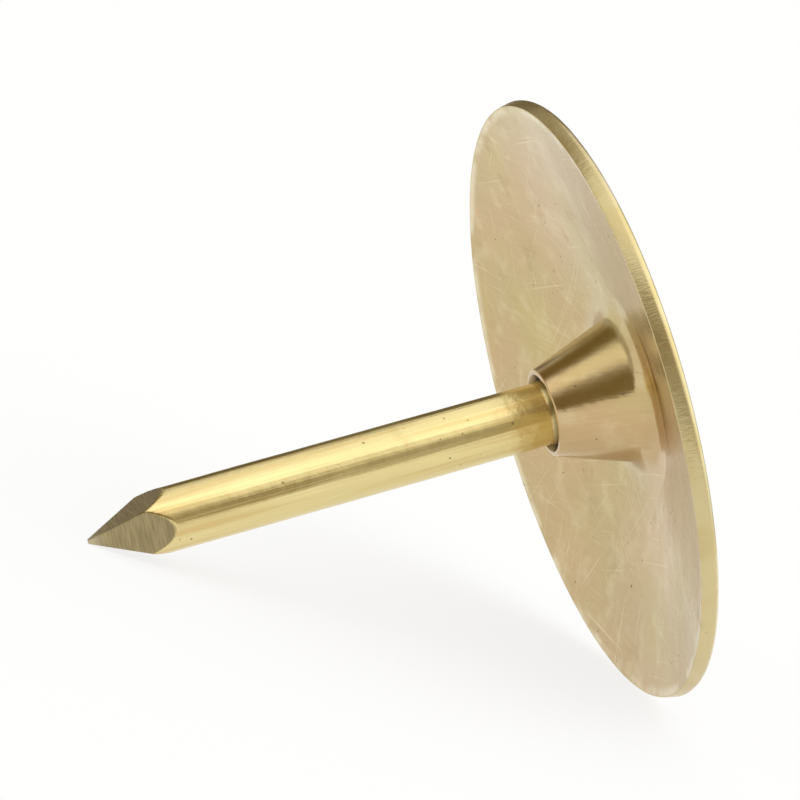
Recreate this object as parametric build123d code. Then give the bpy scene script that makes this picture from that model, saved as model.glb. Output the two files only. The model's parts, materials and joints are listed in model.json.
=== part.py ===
from build123d import *
from math import atan2, cos, degrees, radians, sin, tan
import os

# A thumb tack in two pieces: a dished cap of thin sheet with a collar drawn from its middle,
# and a pointed pin that hangs by its head in that collar.
# It is drawn upright first, with its axis on Z, the point down and the seat of the rim at zero height.
# It is then laid down as it comes to rest on a table, on its rim and its tip, with the tip towards -X.
# Lengths are in millimetres, angles in degrees.

# Cap
cap_diameter = 9.5
sheet_thickness = 0.28
flank_slope = 13.8  # fall of the conical flank from the crown to the rim
crown_land = 0.25  # flat ring of the cap around the head of the pin
bend_radius = 0.8  # inside radius of the bend from crown to flank
edge_roll = 0.1  # rounding that blanking leaves on the upper corner of the rim

# Collar, drawn from the cap around the neck of the pin
collar_wall = 0.175  # beyond the neck, where the collar leaves the underside of the cap
collar_fillet = 0.3  # between collar and underside
mouth_depth = 0.12  # groove around the pin, inside the lip of the collar
mouth_flare = 0.07  # width of that groove beyond the seat, at the lip
mouth_round = 0.02
lip_width = 0.08
lip_round = 0.05

# Pin
wire_diameter = 1.0
reach = 7.94  # from the seat of the rim to the tip
neck_step = 0.5  # widening of the neck beyond the wire
neck_length = 1.55  # from the head down to the lip of the collar
head_overhang = 0.375  # head beyond the neck
head_thickness = 0.1
seam_round = 0.03  # softened edges on both sides of the seam between pin and cap
dish_depth = 0.05  # the head of the pin sinks towards its middle
dish_rim = 0.12  # level ring outside the dish
dot_diameter = 0.3  # centre mark in the dish
dot_depth = 0.05
facet_angle = 20.0  # each of the four facets of the point, from the axis
tip_width = 0.06  # blunt end of the point

# Radii and heights that both pieces share
wire_radius = wire_diameter / 2
neck_radius = wire_radius + neck_step
head_radius = neck_radius + head_overhang
crown_radius = head_radius + crown_land
collar_radius = neck_radius + collar_wall
mouth_seat_radius = wire_radius + neck_step * mouth_depth / neck_length
mouth_radius = mouth_seat_radius + mouth_flare
lip_radius = mouth_radius + lip_width

slope = radians(flank_slope)
edge_loss = edge_roll * (cos(slope) + sin(slope) - 1)  # what the rolled corner takes off the radius
rim_radius = cap_diameter / 2 + edge_loss
seat_radius = rim_radius - sheet_thickness * sin(slope)
rim_height = sheet_thickness * cos(slope)
crown_height = rim_height + (rim_radius - crown_radius) * tan(slope)
under_height = crown_height - sheet_thickness
under_radius = seat_radius - under_height / tan(slope)
neck_top = crown_height - head_thickness
lip_height = neck_top - neck_length
mouth_height = lip_height + mouth_depth

# The collar is swaged tight on the neck, so both pieces have these corners of their seat:
# radius, height and rounding of each
seat = [
    (neck_radius, neck_top, 0),
    (head_radius, neck_top, 0),
    (head_radius, crown_height, seam_round),
]


# Outlines are drawn towards -X, so that the turned faces close on the side that comes to lie uppermost
outline_plane = Plane((0, 0, 0), x_dir=(-1, 0, 0), z_dir=(0, 1, 0))


def turned(outline):
    """Solid of revolution about Z from rows of radius, height and corner rounding."""
    corners = [(radius, height) for radius, height, rounding in outline]
    roundings = [rounding for radius, height, rounding in outline]
    line = FilletPolyline(*corners, radius=roundings, close=True)
    return revolve(make_face(outline_plane * line), Axis.Z)


def make_cap():
    outside = [
        (crown_radius, crown_height, bend_radius + sheet_thickness),
        (rim_radius, rim_height, edge_roll),
        (seat_radius, 0, 0),
        (under_radius, under_height, bend_radius),
        (collar_radius, under_height, collar_fillet),
        (lip_radius, lip_height, lip_round),
        (mouth_radius, lip_height, mouth_round),
        (mouth_seat_radius, mouth_height, 0),
    ]
    return turned(outside + seat)


def make_pin():
    dot_radius = dot_diameter / 2
    dish_height = crown_height - dish_depth
    crown = [
        (head_radius - dish_rim, crown_height, 0),
        (dot_radius, dish_height, 0),
        (0, dish_height - dot_depth, 0),
    ]
    wire = [
        (0, -reach, 0),
        (wire_radius, -reach, 0),
        (wire_radius, lip_height, 0),
    ]
    blank = turned(wire + seat + crown)

    # Four flat facets, pinched off the end of the wire
    point_length = (wire_radius - tip_width / 2) / tan(radians(facet_angle))
    tip_plane = Plane.XY.offset(-reach)
    facets = extrude(tip_plane * Rectangle(tip_width, tip_width), point_length, taper=-facet_angle)
    wire_end = extrude(tip_plane * Circle(wire_diameter), point_length)
    return blank - (wire_end - facets)


cap = make_cap()
pin = make_pin()

# The line from the lower edge of the tip to the seat of the rim comes to lie on the table
lay_angle = degrees(atan2(seat_radius - tip_width / 2, reach))
laid = Rot(Y=90 - lay_angle)
box = Compound([laid * cap, laid * pin]).bounding_box()
place = Pos(-box.center().X, -box.center().Y, -box.min.Z) * laid

os.makedirs("parts", exist_ok=True)
for name, piece in {"cap": cap, "pin": pin}.items():
    export_step(place * piece, f"parts/{name}.step")
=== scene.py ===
import json
import math

import bmesh
import bpy
from mathutils import Matrix, Vector


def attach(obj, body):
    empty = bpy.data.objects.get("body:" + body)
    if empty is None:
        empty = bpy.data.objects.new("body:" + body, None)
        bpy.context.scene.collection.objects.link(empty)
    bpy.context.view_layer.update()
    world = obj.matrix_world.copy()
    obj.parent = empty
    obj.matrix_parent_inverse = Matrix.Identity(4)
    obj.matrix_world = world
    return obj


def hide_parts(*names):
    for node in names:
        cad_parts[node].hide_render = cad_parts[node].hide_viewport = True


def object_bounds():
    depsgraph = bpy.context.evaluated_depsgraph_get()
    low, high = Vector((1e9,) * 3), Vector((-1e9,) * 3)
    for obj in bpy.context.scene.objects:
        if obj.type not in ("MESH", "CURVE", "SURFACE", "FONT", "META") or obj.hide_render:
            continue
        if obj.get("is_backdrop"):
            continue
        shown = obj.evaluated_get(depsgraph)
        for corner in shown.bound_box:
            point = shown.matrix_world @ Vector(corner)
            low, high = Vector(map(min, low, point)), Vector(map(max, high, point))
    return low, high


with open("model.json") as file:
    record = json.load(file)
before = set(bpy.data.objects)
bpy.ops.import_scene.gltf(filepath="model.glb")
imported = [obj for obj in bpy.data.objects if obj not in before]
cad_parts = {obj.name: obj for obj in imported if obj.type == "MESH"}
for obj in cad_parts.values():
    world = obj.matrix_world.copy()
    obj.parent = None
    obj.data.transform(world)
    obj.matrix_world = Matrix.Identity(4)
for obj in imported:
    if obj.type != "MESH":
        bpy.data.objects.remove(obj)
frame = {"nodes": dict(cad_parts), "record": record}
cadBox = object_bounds()

# A thumb tack of two pieces, lying on its rim and its tip:
# a dished cap of thin sheet, and a pointed pin that is held in the cap's collar.
# Each piece is drawn upright in millimetres, with its axis on Z and the seat of the rim at zero height,
# and is then laid down.
mm = 0.001
mounts = {mount["name"]: mount for mount in frame["record"]["mounts"]}
seatMiddle = Vector(mounts["rim_seat"]["pos_m"])
towardsPoint = Vector(mounts["rim_seat"]["axis"])
layTurn = math.atan2(-towardsPoint.x, -towardsPoint.z)  # from upright to lying, about Y
layDown = Matrix.Translation(seatMiddle) @ Matrix.Rotation(layTurn, 4, "Y") @ Matrix.Scale(mm, 4)
standUp = layDown.inverted()


def uprightPoints(node):
    return [standUp @ vertex.co for vertex in frame["nodes"][node].data.vertices]


capRadius = max(point.xy.length for point in uprightPoints("cap"))
pinHeadRadius = max(point.xy.length for point in uprightPoints("pin"))
tipLevel = min(point.z for point in uprightPoints("pin"))
print(f"frame: head {2 * capRadius:.2f} mm across, reach {-tipLevel:.2f} mm, "
      f"laid by {math.degrees(layTurn):.1f} degrees")


def linearColour(hexCode):
    # the sRGB curve, with an alpha of 1
    channels = [int(hexCode[i : i + 2], 16) / 255 for i in (1, 3, 5)]
    return [c / 12.92 if c <= 0.04045 else ((c + 0.055) / 1.055) ** 2.4 for c in channels] + [1.0]


def addNode(tree, kind, inputs=None, **settings):
    # An input is a value, a socket, or a node whose first output in use is taken.
    # Map Range is numbered 0 for the value, 1 and 2 for its old range, 3 and 4 for its new one.
    # Mix is numbered 0 for the share, 4 and 5 for two vectors, 6 and 7 for two colours.
    node = tree.nodes.new(kind)
    for name, value in settings.items():
        setattr(node, name, value)
    for key, value in (inputs or {}).items():
        if isinstance(value, bpy.types.Node):
            value = next(socket for socket in value.outputs if socket.enabled)
        if isinstance(value, bpy.types.NodeSocket):
            tree.links.new(value, node.inputs[key])
        else:
            node.inputs[key].default_value = value
    return node


# Geometry Nodes of both pieces

weldGap = 0.0005  # points closer than this, in mm, become one
dentReach = 0.45  # of the distance between two dents, where a dent has faded out
upwards = (0.0, 0.0, 1.0)
turningSockets = {
    "Outline": "Geometry",
    "Steps Around": "Int",
    "Corner Steps": "Int",
    "Row Spacing": "Float",
    "Wave Depth": "Float",
    "Wave Size": "Float",
    "Dent Depth": "Float",
    "Dent Spacing": "Float",
}


def newTree(name, sockets):
    tree = bpy.data.node_groups.new(name, "GeometryNodeTree")
    for label, kind in sockets.items():
        tree.interface.new_socket(label, in_out="INPUT", socket_type="NodeSocket" + kind)
    tree.interface.new_socket("Solid", in_out="OUTPUT", socket_type="NodeSocketGeometry")
    return tree, addNode(tree, "NodeGroupInput").outputs


def turningGroup():
    # an outline in radius and depth, with a rounding on each corner, turned about Z
    tree, given = newTree("turnOutline", turningSockets)
    line = addNode(tree, "GeometryNodeMeshToCurve", {"Mesh": given["Outline"]})
    rounding = addNode(tree, "GeometryNodeInputNamedAttribute", {"Name": "rounding"}, data_type="FLOAT")
    line = addNode(tree, "GeometryNodeFilletCurve", {
        "Curve": line,
        "Count": given["Corner Steps"],
        "Radius": rounding,
        "Limit Radius": True,
    }, mode="POLY")

    # long runs are cut into rows
    here = addNode(tree, "GeometryNodeInputPosition")
    following = addNode(tree, "GeometryNodeOffsetPointInCurve", {"Offset": 1}).outputs["Point Index"]
    there = addNode(tree, "GeometryNodeFieldAtIndex", {
        "Value": here, "Index": following}, data_type="FLOAT_VECTOR", domain="POINT")
    run = addNode(tree, "ShaderNodeVectorMath", {0: here, 1: there}, operation="DISTANCE")
    cuts = addNode(tree, "ShaderNodeMath", {0: run, 1: given["Row Spacing"]}, operation="DIVIDE")
    line = addNode(tree, "GeometryNodeSubdivideCurve", {"Curve": line, "Cuts": cuts})

    # a unit circle carries the outline, which is moved in by that unit
    line = addNode(tree, "GeometryNodeSetPosition", {"Geometry": line, "Offset": (-1.0, 0.0, 0.0)})
    circle = addNode(tree, "GeometryNodeCurvePrimitiveCircle", {
        "Resolution": given["Steps Around"], "Radius": 1.0})
    solid = addNode(tree, "GeometryNodeCurveToMesh", {"Curve": circle, "Profile Curve": line})
    solid = addNode(tree, "GeometryNodeMergeByDistance", {"Geometry": solid, "Distance": weldGap})

    # shallow waves left by forming and dents left by tumbling, which only sink, so that nothing grows
    scale = addNode(tree, "ShaderNodeMath", {0: 1.0, 1: given["Wave Size"]}, operation="DIVIDE")
    wave = addNode(tree, "ShaderNodeTexNoise", {"Scale": scale, "Detail": 1.0})
    wave = addNode(tree, "ShaderNodeMath", {0: wave, 1: given["Wave Depth"]}, operation="MULTIPLY")
    scale = addNode(tree, "ShaderNodeMath", {0: 1.0, 1: given["Dent Spacing"]}, operation="DIVIDE")
    cell = addNode(tree, "ShaderNodeTexVoronoi", {"Scale": scale}).outputs["Distance"]
    dent = addNode(tree, "ShaderNodeMapRange", {
        0: cell, 1: dentReach, 2: 0.0, 4: given["Dent Depth"]}, interpolation_type="SMOOTHSTEP")
    depth = addNode(tree, "ShaderNodeMath", {0: wave, 1: dent}, operation="ADD")
    sink = addNode(tree, "ShaderNodeMath", {0: 0.0, 1: depth}, operation="SUBTRACT")

    # along its normal, but on the seat straight down, so that the pieces stay together there
    normal = addNode(tree, "GeometryNodeInputNormal")
    seated = addNode(tree, "GeometryNodeInputNamedAttribute", {"Name": "seated"}, data_type="FLOAT")
    outwards = addNode(tree, "ShaderNodeMix", {0: seated, 4: normal, 5: upwards}, data_type="VECTOR")
    offset = addNode(tree, "ShaderNodeVectorMath", {0: outwards, "Scale": sink}, operation="SCALE")
    solid = addNode(tree, "GeometryNodeSetPosition", {"Geometry": solid, "Offset": offset})
    addNode(tree, "NodeGroupOutput", {"Solid": solid})
    return tree


turnOutline = turningGroup()


def startTree(name, extraSockets):
    endSockets = {"Sharp Angle": "Float", "Finish": "Material"}
    tree, given = newTree(name, {**turningSockets, **extraSockets, **endSockets})
    turned = addNode(tree, "GeometryNodeGroup", node_tree=turnOutline)
    for label in turningSockets:
        tree.links.new(given[label], turned.inputs[label])
    return tree, given, turned


def endTree(tree, given, solid):
    # corners past the sharp angle stay crisp
    angle = addNode(tree, "GeometryNodeInputMeshEdgeAngle")
    crisp = addNode(tree, "FunctionNodeCompare", {
        0: angle, 1: given["Sharp Angle"]}, operation="GREATER_THAN")
    solid = addNode(tree, "GeometryNodeSetShadeSmooth", {
        "Geometry": solid, "Selection": crisp, "Shade Smooth": False}, domain="EDGE")
    solid = addNode(tree, "GeometryNodeRealizeInstances", {"Geometry": solid})
    solid = addNode(tree, "GeometryNodeSetMaterial", {"Geometry": solid, "Material": given["Finish"]})
    addNode(tree, "NodeGroupOutput", {"Solid": solid})
    return tree


def capTree():
    tree, given, turned = startTree("stampedCap", {})
    return endTree(tree, given, turned)


def pinTree():
    # the end of the wire is pinched to four facets:
    # each ring is drawn in to a square that narrows to the tip
    tree, given, turned = startTree("pinchedPin", {
        "Tip Level": "Float",
        "Tip Width": "Float",
        "Facet Slope": "Float",
        "Ridge Round": "Float",
    })
    place = addNode(tree, "GeometryNodeInputPosition")
    axes = addNode(tree, "ShaderNodeSeparateXYZ", {0: place}).outputs
    above = addNode(tree, "ShaderNodeMath", {0: axes["Z"], 1: given["Tip Level"]}, operation="SUBTRACT")
    tip = addNode(tree, "ShaderNodeMath", {0: given["Tip Width"], 1: 0.5}, operation="MULTIPLY")
    wide = addNode(tree, "ShaderNodeMath", {
        0: above, 1: given["Facet Slope"], 2: tip}, operation="MULTIPLY_ADD")
    sideX = addNode(tree, "ShaderNodeMath", {0: axes["X"]}, operation="ABSOLUTE")
    sideY = addNode(tree, "ShaderNodeMath", {0: axes["Y"]}, operation="ABSOLUTE")
    side = addNode(tree, "ShaderNodeMath", {
        0: sideX, 1: sideY, 2: given["Ridge Round"]}, operation="SMOOTH_MAX")
    share = addNode(tree, "ShaderNodeMath", {0: wide, 1: side}, operation="DIVIDE")
    share = addNode(tree, "ShaderNodeMath", {0: share, 1: 1.0}, operation="MINIMUM")
    inwards = addNode(tree, "ShaderNodeCombineXYZ", {"X": share, "Y": share, "Z": 1.0})
    pinched = addNode(tree, "ShaderNodeVectorMath", {0: place, 1: inwards}, operation="MULTIPLY")
    solid = addNode(tree, "GeometryNodeSetPosition", {"Geometry": turned, "Position": pinched})
    return endTree(tree, given, solid)


# Finishes

plating = {
    "face": "#DFCC8E",
    # darker underside: partly thinner plating, partly painted shade
    "underside": "#C5B080",
    "wire": "#E8D699",
    # dark brown for specks of dirt, and also painted shade in the seam around the head and in the collar's
    # mouth
    "grime": "#4A3814",
    "roughness": 0.17,
    "patternStep": 7.3,  # mm from one layer's pattern to the next, so that no two fall together
    "scratchTurns": (8, 37, 71, 102, 133, 164),  # degrees
}


def startFinish(name):
    # upright millimetres, and from them the distance from the axis and the height over the seat
    finish = bpy.data.materials.new(name)
    finish.use_nodes = True
    tree = finish.node_tree
    spot = addNode(tree, "ShaderNodeMapping", {
        "Vector": addNode(tree, "ShaderNodeTexCoord").outputs["Object"],
        "Location": seatMiddle,
        "Rotation": (0.0, layTurn, 0.0),
        "Scale": (mm, mm, mm),
    }, vector_type="TEXTURE")
    flat = addNode(tree, "ShaderNodeVectorMath", {0: spot, 1: (1.0, 1.0, 0.0)}, operation="MULTIPLY")
    radius = addNode(tree, "ShaderNodeVectorMath", {0: flat}, operation="LENGTH")
    height = addNode(tree, "ShaderNodeSeparateXYZ", {0: spot}).outputs["Z"]
    return finish, tree, spot, radius, height


def addLayers(finish, spot, colour, layers):
    # A layer is a pattern of spots or lines of a size in mm, a place where it lies, or both.
    # It mixes in a colour, dulls by a roughness, and raises or sinks the surface by a height in mm.
    tree = finish.node_tree
    roughness = plating["roughness"]
    relief = 0.0
    for number, layer in enumerate(layers):
        share = layer.get("where")
        if "size" in layer:
            pattern = addNode(tree, "ShaderNodeMapping", {
                "Vector": spot,
                "Location": [plating["patternStep"] * number] * 3,
                "Rotation": (0.0, 0.0, math.radians(layer.get("turn", 0.0))),
                "Scale": layer["size"],
            }, vector_type="TEXTURE")
            noise = addNode(tree, "ShaderNodeTexNoise", {
                "Vector": pattern, "Scale": 1.0, "Detail": layer.get("detail", 2.0)})
            low, full = layer["levels"]
            spread = addNode(tree, "ShaderNodeMapRange", {
                0: noise, 1: low, 2: full}, interpolation_type="SMOOTHSTEP")
            if share:
                spread = addNode(tree, "ShaderNodeMath", {0: spread, 1: share}, operation="MULTIPLY")
            share = spread
        if "colour" in layer:
            tint = addNode(tree, "ShaderNodeMath", {0: share, 1: layer["tint"]}, operation="MULTIPLY")
            colour = addNode(tree, "ShaderNodeMix", {
                0: tint, 6: colour, 7: linearColour(layer["colour"])}, data_type="RGBA")
        if "dull" in layer:
            roughness = addNode(tree, "ShaderNodeMath", {
                0: share, 1: layer["dull"], 2: roughness}, operation="MULTIPLY_ADD")
        if "raise" in layer:
            relief = addNode(tree, "ShaderNodeMath", {
                0: share, 1: layer["raise"], 2: relief}, operation="MULTIPLY_ADD")
    bump = addNode(tree, "ShaderNodeBump", {"Height": relief, "Distance": mm, "Strength": 1.0})
    metal = addNode(tree, "ShaderNodeBsdfPrincipled", {
        "Base Color": colour, "Metallic": 1.0, "Roughness": roughness, "Normal": bump})
    tree.links.new(metal.outputs[0], tree.nodes["Material Output"].inputs["Surface"])
    tree.nodes.remove(tree.nodes["Principled BSDF"])
    print(f"{finish.name}: {len(layers)} layers")


# Sizes of each piece, in millimetres from the axis and from the seat of the rim

capSizes = {
    "sheet": 0.28,
    "slope": math.radians(13.8),  # fall of the flank
    "crownLand": 0.25,  # flat ring around the pin's head
    "bend": 0.8,  # inside radius from crown to flank
    "edgeRoll": 0.1,  # rounded upper corner of the rim
    "edgeBurr": 0.02,  # softened lower corner of the rim
    "collarWall": 0.175,
    "collarFillet": 0.3,
    "mouthDepth": 0.12,  # groove inside the collar's lip
    "mouthFlare": 0.07,
    "mouthRound": 0.02,
    "lipWidth": 0.08,
    "lipRound": 0.05,
    "underFade": (0.75, 0.3),  # shares of the sheet, from full to none of the underside's darker colour, partly thinner plating and partly painted shade
    "cutFade": (0.04, 0.015),  # from the edge inwards, where the sheared edge begins and is full
    "wearFade": (0.2, 0.06),  # the same for the wear along the rim
    "turning": {
        "Steps Around": 320,
        "Corner Steps": 8,
        "Row Spacing": 0.09,
        "Wave Depth": 0.012,
        "Wave Size": 2.2,
        "Dent Depth": 0.006,
        "Dent Spacing": 1.1,
        "Sharp Angle": math.radians(40),
    },
}
pinSizes = {
    "wireRadius": mounts["shank"]["dims"]["r_mm"],
    "neckStep": 0.5,
    "neckLength": 1.55,
    "headThickness": 0.1,
    "seamRound": 0.005,  # softened edges along the seam between pin and cap
    "seamMark": 0.022,  # width of the painted shade on each side of it
    "dishDepth": 0.05,
    "dishRim": 0.12,
    "dishRound": 0.3,
    "dotRadius": 0.15,
    "dotDepth": 0.05,
    "dotRound": 0.03,
    "facetSlope": math.tan(math.radians(20.0)),
    "tipWidth": 0.06,
    "ridgeRound": 0.03,
    "facetFade": (0.02, 0.008),  # inside the round of the wire, where a facet is full and begins
    "tipWear": 0.3,  # length of the worn tip
    "mouthStart": 0.02,  # below the collar's lip, where the painted shade of its mouth begins
    "turning": {
        "Steps Around": 224,
        "Corner Steps": 8,
        "Row Spacing": 0.04,
        "Wave Depth": 0.012,
        "Wave Size": 2.2,
        "Dent Depth": 0.002,
        "Dent Spacing": 0.9,
        "Sharp Angle": math.radians(40),
    },
}
slope = capSizes["slope"]
wireRadius = pinSizes["wireRadius"]
neckRadius = wireRadius + pinSizes["neckStep"]
collarRadius = neckRadius + capSizes["collarWall"]
crownRadius = pinHeadRadius + capSizes["crownLand"]
edgeLoss = capSizes["edgeRoll"] * (math.cos(slope) + math.sin(slope) - 1)  # what the roll takes off
rimRadius = capRadius + edgeLoss
seatRadius = rimRadius - capSizes["sheet"] * math.sin(slope)
rimLevel = capSizes["sheet"] * math.cos(slope)
crownLevel = rimLevel + (rimRadius - crownRadius) * math.tan(slope)
underLevel = crownLevel - capSizes["sheet"]
neckLevel = crownLevel - pinSizes["headThickness"]
lipLevel = neckLevel - pinSizes["neckLength"]
mouthRadius = wireRadius + pinSizes["neckStep"] * capSizes["mouthDepth"] / pinSizes["neckLength"]
lipRadius = mouthRadius + capSizes["mouthFlare"] + capSizes["lipWidth"]
pointLength = (wireRadius - pinSizes["tipWidth"] / 2) / pinSizes["facetSlope"]

# corners that both outlines have: radius, level and rounding of each
seat = [
    (pinHeadRadius, crownLevel, pinSizes["seamRound"]),
    (pinHeadRadius, neckLevel, 0),
    (neckRadius, neckLevel, 0),
]


def turnPiece(name, outline, closed, tree, settings):
    # the outline goes in as a line of edges: radius along X, and level down Y, as the circle reads it
    line = bpy.data.meshes.new(name)
    corners = len(outline)
    edges = [(i, (i + 1) % corners) for i in range(corners if closed else corners - 1)]
    line.from_pydata([(radius, -level, 0) for radius, level, rounding in outline], edges, [])
    roundings = [rounding for radius, level, rounding in outline]
    line.attributes.new("rounding", "FLOAT", "POINT").data.foreach_set("value", roundings)
    seated = [corner in seat for corner in outline]
    line.attributes.new("seated", "FLOAT", "POINT").data.foreach_set("value", seated)
    piece = bpy.data.objects.new(name, line)
    bpy.context.scene.collection.objects.link(piece)

    turning = piece.modifiers.new("turning", "NODES")
    turning.node_group = tree
    labels = {item.name: item.identifier for item in tree.interface.items_tree if item.in_out == "INPUT"}
    for label, value in settings.items():
        turning[labels[label]] = value
    solid = bpy.data.meshes.new_from_object(piece.evaluated_get(bpy.context.evaluated_depsgraph_get()))
    piece.modifiers.clear()
    piece.data = solid
    solid.name = name

    shape = bmesh.new()
    shape.from_mesh(solid)
    openEdges = sum(not edge.is_manifold for edge in shape.edges)
    volume = shape.calc_volume(signed=True)
    print(f"{name}: {len(shape.faces)} faces, {openEdges} open edges, {volume:.2f} mm3")
    shape.free()
    solid.transform(layDown)
    return piece


# Plating of the whole tack

def platingLayers(tree, radius, height, face, flat):
    # The tack is plated and tumbled when it is whole, so tints, stains and scratches run on from the cap
    # over the pin's head: both finishes begin with these layers, in this order.
    # Tints stay on the face, and scratches on the flat.
    grime = plating["grime"]
    # where the painted shade of the seam between the cap and the pin's head lies
    fromSeam = addNode(tree, "ShaderNodeMath", {0: radius, 1: pinHeadRadius}, operation="SUBTRACT")
    fromSeam = addNode(tree, "ShaderNodeMath", {0: fromSeam}, operation="ABSOLUTE")
    seam = addNode(tree, "ShaderNodeMapRange", {
        0: fromSeam, 1: 0.0, 2: pinSizes["seamMark"], 3: 1.0, 4: 0.0})
    top = addNode(tree, "ShaderNodeMath", {0: height, 1: neckLevel}, operation="GREATER_THAN")
    seam = addNode(tree, "ShaderNodeMath", {0: seam, 1: top}, operation="MULTIPLY")
    layers = [
        # pinkish and greenish where the plating is thin, and pale mottling
        {"where": face, "size": [3.2] * 3, "levels": (0.36, 0.66), "colour": "#D2AE86", "tint": 0.5},
        {"where": face, "size": [2.1] * 3, "levels": (0.42, 0.72), "colour": "#CABC78", "tint": 0.45},
        {"where": face, "size": [0.45] * 3, "levels": (0.5, 0.72), "colour": "#EFE3B8", "tint": 0.2},
        # stains and smudges
        {"size": [0.9] * 3, "levels": (0.62, 0.78), "detail": 4.0,
            "colour": "#9C7F45", "tint": 0.35, "dull": 0.12},
        {"size": [1.3] * 3, "levels": (0.4, 0.7), "detail": 4.0, "dull": 0.09},
        # the plating's own unevenness
        {"size": [0.22] * 3, "levels": (0.0, 1.0), "raise": 0.0025},
        # specks, larger than real pits so that they show
        {"size": [0.09] * 3, "levels": (0.81, 0.88), "detail": 0.0,
            "colour": grime, "tint": 0.5, "dull": 0.3},
        # painted shade in the seam around the head, in broken arcs
        {"where": seam, "size": [1.2] * 3, "levels": (0.48, 0.66),
            "colour": grime, "tint": 0.55, "dull": 0.2},
    ]
    # scratches, wider than real ones so that they show, and tinted paler as a painted glint where they
    # catch the light
    for turn in plating["scratchTurns"]:
        layers.append({
            "where": flat, "size": (0.022, 2.2, 2.2), "turn": turn, "levels": (0.76, 0.84), "detail": 0.0,
            "colour": "#F3E8C0", "tint": 0.35, "raise": -0.0006})
    return layers


# Cap

def brassOnSheet():
    # brass electroplated on rolled steel sheet and tumbled in a barrel: a soft mirror, yellow on the outer
    # face and darker underneath, partly where the plating is thinner and nearer to the grey of the steel,
    # partly as painted shade, with faint tints, stains and scratches, and a duller sheared edge
    finish, tree, spot, radius, height = startFinish("brassPlatedSheet")
    sheet = capSizes["sheet"]

    # the underside, by the distance across the flank
    inwards = addNode(tree, "ShaderNodeMath", {0: radius, 1: math.sin(slope)}, operation="MULTIPLY")
    across = addNode(tree, "ShaderNodeMath", {
        0: height, 1: math.cos(slope), 2: inwards}, operation="MULTIPLY_ADD")
    outerFace = rimRadius * math.sin(slope) + rimLevel * math.cos(slope)
    full, none = capSizes["underFade"]
    under = addNode(tree, "ShaderNodeMapRange", {
        0: across, 1: outerFace - full * sheet, 2: outerFace - none * sheet, 3: 1.0, 4: 0.0})

    # the sheared edge, by the distance along the flank
    outwards = addNode(tree, "ShaderNodeMath", {0: radius, 1: math.cos(slope)}, operation="MULTIPLY")
    along = addNode(tree, "ShaderNodeMath", {
        0: height, 1: -math.sin(slope), 2: outwards}, operation="MULTIPLY_ADD")
    edge = seatRadius * math.cos(slope)
    begin, full = capSizes["cutFade"]
    cut = addNode(tree, "ShaderNodeMapRange", {0: along, 1: edge - begin, 2: edge - full})
    begin, full = capSizes["wearFade"]
    rim = addNode(tree, "ShaderNodeMapRange", {
        0: along, 1: edge - begin, 2: edge - full}, interpolation_type="SMOOTHSTEP")

    # the mouth of the collar, and all beyond its foot
    mouth = addNode(tree, "ShaderNodeMapRange", {
        0: radius, 1: mouthRadius, 2: lipRadius - capSizes["lipWidth"] / 2, 3: 1.0, 4: 0.0})
    flank = addNode(tree, "ShaderNodeMapRange", {
        0: radius, 1: collarRadius, 2: collarRadius + capSizes["collarFillet"]})

    colour = addNode(tree, "ShaderNodeMix", {
        0: under,
        6: linearColour(plating["face"]),
        7: linearColour(plating["underside"]),
    }, data_type="RGBA")
    layers = platingLayers(tree, radius, height, None, flank) + [
        # rolling lines of the sheet, drawn coarser than real ones so that they show
        {"size": (0.05, 0.9, 0.9), "levels": (0.3, 0.7),
            "colour": "#A58A4E", "tint": 0.1, "raise": 0.0003},
        # wear along the rim
        {"where": rim, "size": [0.6] * 3, "levels": (0.35, 0.6), "colour": "#F1E8C8", "tint": 0.6},
        # the sheared edge, with lines of the shear that are coarser than real ones
        {"where": cut, "colour": "#D2C08C", "tint": 0.8, "dull": 0.12},
        {"where": cut, "size": (0.03, 0.03, 0.3), "levels": (0.3, 0.7), "raise": 0.0012},
        # painted shade in the groove inside the collar's lip, where the wire goes in
        {"where": mouth, "colour": plating["grime"], "tint": 0.75, "dull": 0.3},
    ]
    addLayers(finish, spot, colour, layers)
    return finish


def makeCap():
    outline = [
        (crownRadius, crownLevel, capSizes["bend"] + capSizes["sheet"]),
        (rimRadius, rimLevel, capSizes["edgeRoll"]),
        (seatRadius, 0, capSizes["edgeBurr"]),
        (seatRadius - underLevel / math.tan(slope), underLevel, capSizes["bend"]),
        (collarRadius, underLevel, capSizes["collarFillet"]),
        (lipRadius, lipLevel, capSizes["lipRound"]),
        (lipRadius - capSizes["lipWidth"], lipLevel, capSizes["mouthRound"]),
        (mouthRadius, lipLevel + capSizes["mouthDepth"], 0),
        *reversed(seat),
    ]
    settings = {**capSizes["turning"], "Finish": brassOnSheet()}
    cap = turnPiece("stamped_cap", outline, True, capTree(), settings)
    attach(cap, "root")
    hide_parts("cap")
    return cap


cap = makeCap()


# Pin

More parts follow.
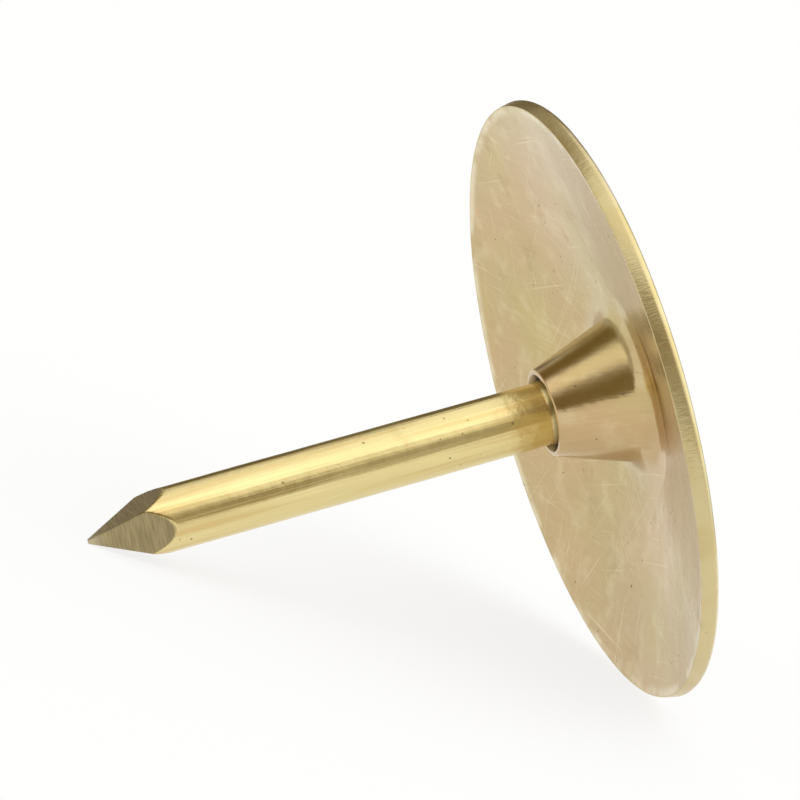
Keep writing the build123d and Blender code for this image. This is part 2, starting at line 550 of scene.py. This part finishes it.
def brassOnWire():
    # brass electroplated on drawn steel wire: bright with lines along its length, redder where the plating
    # is thin, greyer and duller on the pinched facets of the point, and like the cap's outer face on the
    # pressed head
    finish, tree, spot, radius, height = startFinish("brassPlatedWire")

    # facets lie inside the round of the wire, below the start of the point
    full, begin = pinSizes["facetFade"]
    inside = addNode(tree, "ShaderNodeMapRange", {
        0: radius, 1: wireRadius - full, 2: wireRadius - begin, 3: 1.0, 4: 0.0})
    below = addNode(tree, "ShaderNodeMath", {0: height, 1: tipLevel + pointLength}, operation="LESS_THAN")
    facet = addNode(tree, "ShaderNodeMath", {0: inside, 1: below}, operation="MULTIPLY")
    wire = addNode(tree, "ShaderNodeMath", {0: height, 1: lipLevel}, operation="LESS_THAN")
    wire = addNode(tree, "ShaderNodeMath", {0: wire, 1: facet}, operation="SUBTRACT")
    tip = addNode(tree, "ShaderNodeMapRange", {
        0: height, 1: tipLevel + pinSizes["tipWear"], 2: tipLevel}, interpolation_type="SMOOTHSTEP")

    # the mouth of the collar, and the head
    low = addNode(tree, "ShaderNodeMapRange", {
        0: height, 1: lipLevel - pinSizes["mouthStart"], 2: lipLevel + capSizes["mouthDepth"] / 2})
    head = addNode(tree, "ShaderNodeMath", {0: height, 1: neckLevel}, operation="GREATER_THAN")
    mouth = addNode(tree, "ShaderNodeMath", {0: low, 1: head}, operation="SUBTRACT")

    colour = addNode(tree, "ShaderNodeMix", {
        0: head,
        6: linearColour(plating["wire"]),
        7: linearColour(plating["face"]),
    }, data_type="RGBA")
    layers = platingLayers(tree, radius, height, head, head) + [
        # streaks along the wire, redder and paler
        {"where": wire, "size": (0.12, 0.12, 4.0), "levels": (0.45, 0.7),
            "colour": "#CFA35C", "tint": 0.4},
        {"where": wire, "size": (0.07, 0.07, 3.0), "levels": (0.55, 0.75),
            "colour": "#F2E4B0", "tint": 0.4},
        # draw lines, coarser than real ones so that they show
        {"where": wire, "size": (0.035, 0.035, 6.0), "levels": (0.3, 0.7), "raise": 0.0012},
        # facets, with lines of the pinching tool across them that are coarser than real ones
        {"where": facet, "colour": "#A3936F", "tint": 0.9, "dull": 0.1},
        {"where": facet, "size": (0.35, 0.35, 0.03), "levels": (0.3, 0.7),
            "colour": "#6E6040", "tint": 0.45, "raise": 0.002},
        # the tip, worn to the steel
        {"where": tip, "colour": "#D8CDAE", "tint": 0.6, "dull": 0.05},
        # painted shade on the wire where it goes into the collar's mouth
        {"where": mouth, "colour": plating["grime"], "tint": 0.75, "dull": 0.3},
    ]
    addLayers(finish, spot, colour, layers)
    return finish


def makePin():
    dishLevel = crownLevel - pinSizes["dishDepth"]
    tipCorner = pinSizes["tipWidth"] / math.sqrt(2)
    ridgeLevel = tipLevel + (wireRadius - tipCorner) / math.sqrt(2) / pinSizes["facetSlope"]
    outline = [
        (0, dishLevel - pinSizes["dotDepth"], 0),
        (pinSizes["dotRadius"], dishLevel, pinSizes["dotRound"]),
        (pinHeadRadius - pinSizes["dishRim"], crownLevel, pinSizes["dishRound"]),
        *seat,
        (wireRadius, lipLevel, 0),
        (wireRadius, ridgeLevel, 0),
        (tipCorner, tipLevel, 0),  # the cone around the ridges of the point
        (0, tipLevel, 0),
    ]
    settings = {
        **pinSizes["turning"],
        "Tip Level": tipLevel,
        "Tip Width": pinSizes["tipWidth"],
        "Facet Slope": pinSizes["facetSlope"],
        "Ridge Round": pinSizes["ridgeRound"],
        "Finish": brassOnWire(),
    }
    pin = turnPiece("drawn_pin", outline, False, pinTree(), settings)
    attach(pin, "root")
    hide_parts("pin")
    return pin


pin = makePin()


# Stage

studio = {
    "floorSize": 4.0,  # metres each way, so that its edge lies on the horizon
    "floorColour": "#FCFCFB",
    "floorRoughness": 0.9,
    "floorGlow": 0.82,  # share of plain white that the eye and the metal get from the floor
    "room": ("#C9C5BB", 1.0),
    "zones": [  # azimuth, elevation, inner and outer half angle in degrees, colour, strength
        (0, 90, 30, 65, "#FFFFFF", 1.2),  # diffuser overhead
        (70, 35, 18, 48, "#FFFFF6", 1.2),  # softbox on the right
        (-27, 8, 15, 45, "#8A7B57", 1.0),  # dim room around the camera
        (-135, 34, 8, 28, "#857349", 1.0),  # dim room on the left, behind
        (168, 22, 10, 30, "#6B5E42", 1.0),  # dark room behind
        (-86, 33, 6, 22, "#FFFFF6", 1.2),  # softbox on the left
    ],
    "keyTurn": (35, 60),  # azimuth and elevation of the key lamp
    "keyStrength": 0.4,
    "keyWidth": 80,  # degrees across
}
plainWhite = (1.0, 1.0, 1.0, 1.0)


def direction(azimuth, elevation):
    turn, lift = math.radians(azimuth), math.radians(elevation)
    return Vector((math.sin(turn) * math.cos(lift), -math.cos(turn) * math.cos(lift), math.sin(lift)))


def makeFloor():
    size = studio["floorSize"]
    corners = [(-size, -size, 0), (size, -size, 0), (size, size, 0), (-size, size, 0)]
    mesh = bpy.data.meshes.new("floor")
    mesh.from_pydata(corners, [], [(0, 1, 2, 3)])
    floor = bpy.data.objects.new("floor", mesh)
    bpy.context.scene.collection.objects.link(floor)

    # matt white card, which glows a little to the eye and to the metal, and keeps the tack's shadow
    card = bpy.data.materials.new("whiteCard")
    card.use_nodes = True
    tree = card.node_tree
    shader = tree.nodes["Principled BSDF"]
    shader.inputs["Base Color"].default_value = linearColour(studio["floorColour"])
    shader.inputs["Roughness"].default_value = studio["floorRoughness"]
    shader.inputs["Specular IOR Level"].default_value = 0.0
    ray = addNode(tree, "ShaderNodeLightPath").outputs
    seen = addNode(tree, "ShaderNodeMath", {
        0: ray["Is Camera Ray"], 1: ray["Is Glossy Ray"]}, operation="ADD")
    seen = addNode(tree, "ShaderNodeMath", {0: seen, 1: ray["Is Transmission Ray"]}, operation="ADD")
    share = addNode(tree, "ShaderNodeMath", {0: seen, 1: studio["floorGlow"]}, operation="MULTIPLY")
    white = addNode(tree, "ShaderNodeEmission", {"Color": plainWhite, "Strength": 1.0})
    mixed = addNode(tree, "ShaderNodeMixShader", {0: share, 1: shader, 2: white})
    tree.links.new(mixed.outputs[0], tree.nodes["Material Output"].inputs["Surface"])
    mesh.materials.append(card)
    floor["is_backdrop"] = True


def makeWorld():
    # a plain room with soft zones of light and dark, and white where the camera sees it
    world = bpy.data.worlds.new("studio")
    world.use_nodes = True
    tree = world.node_tree
    towards = addNode(tree, "ShaderNodeTexCoord").outputs["Generated"]
    code, strength = studio["room"]
    colour = [c * strength for c in linearColour(code)]
    for azimuth, elevation, inner, outer, code, strength in studio["zones"]:
        facing = addNode(tree, "ShaderNodeVectorMath", {
            0: towards, 1: direction(azimuth, elevation)}, operation="DOT_PRODUCT")
        share = addNode(tree, "ShaderNodeMapRange", {
            0: facing,
            1: math.cos(math.radians(outer)),
            2: math.cos(math.radians(inner)),
        }, interpolation_type="SMOOTHSTEP")
        zone = [c * strength for c in linearColour(code)]
        colour = addNode(tree, "ShaderNodeMix", {0: share, 6: colour, 7: zone}, data_type="RGBA")
    lit = tree.nodes["Background"]
    tree.links.new(colour.outputs[2], lit.inputs["Color"])  # a Mix gives its colour at 2
    white = addNode(tree, "ShaderNodeBackground", {"Color": plainWhite, "Strength": 1.0})
    ray = addNode(tree, "ShaderNodeLightPath").outputs
    mixed = addNode(tree, "ShaderNodeMixShader", {0: ray["Is Camera Ray"], 1: lit, 2: white})
    tree.links.new(mixed.outputs[0], tree.nodes["World Output"].inputs["Surface"])
    bpy.context.scene.world = world


def makeKey():
    lamp = bpy.data.lights.new("key", "SUN")
    lamp.energy = studio["keyStrength"]
    lamp.angle = math.radians(studio["keyWidth"])
    key = bpy.data.objects.new("key", lamp)
    key.rotation_euler = direction(*studio["keyTurn"]).to_track_quat("Z", "Y").to_euler()
    bpy.context.scene.collection.objects.link(key)


makeFloor()
makeWorld()
makeKey()
print(f"stage: floor, {len(studio['zones'])} zones of the room, key lamp of {studio['keyStrength']}")


# Camera

shot = {
    "azimuth": -22.5,
    "elevation": 10.0,
    "roll": 19.4,
    "lens": 200.0,
    "sensor": 36.0,
    "fill": 0.76,  # share of the picture's width that the tack takes
    "clip": (0.005, 50.0),  # metres
}


def makeCamera():
    back = direction(shot["azimuth"], shot["elevation"])
    turn = back.to_track_quat("Z", "Y").to_matrix() @ Matrix.Rotation(math.radians(shot["roll"]), 3, "Z")
    points = [turn.transposed() @ vertex.co for piece in (cap, pin) for vertex in piece.data.vertices]
    low = [min(point[i] for point in points) for i in range(3)]
    high = [max(point[i] for point in points) for i in range(3)]
    middle = Vector([(a + b) / 2 for a, b in zip(low, high)])
    half = max(high[i] - low[i] for i in range(2)) / 2
    lens = bpy.data.cameras.new("macro")
    lens.lens = shot["lens"]
    lens.sensor_width = shot["sensor"]
    lens.clip_start, lens.clip_end = shot["clip"]
    distance = half / shot["fill"] / (lens.sensor_width / 2 / lens.lens)
    camera = bpy.data.objects.new("macro", lens)
    camera.matrix_world = Matrix.Translation(turn @ middle + back * distance) @ turn.to_4x4()
    bpy.context.scene.collection.objects.link(camera)
    bpy.context.scene.camera = camera
    print(f"camera: {distance / mm:.0f} mm from the tack")


makeCamera()
bpy.context.scene.view_settings.view_transform = "Standard"

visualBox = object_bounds()
boxes = {"cad": [list(corner) for corner in cadBox], "visual": [list(corner) for corner in visualBox]}
for name, (low, high) in boxes.items():
    print(f"{name} box:", " x ".join(f"{(b - a) / mm:.3f}" for a, b in zip(low, high)), "mm")
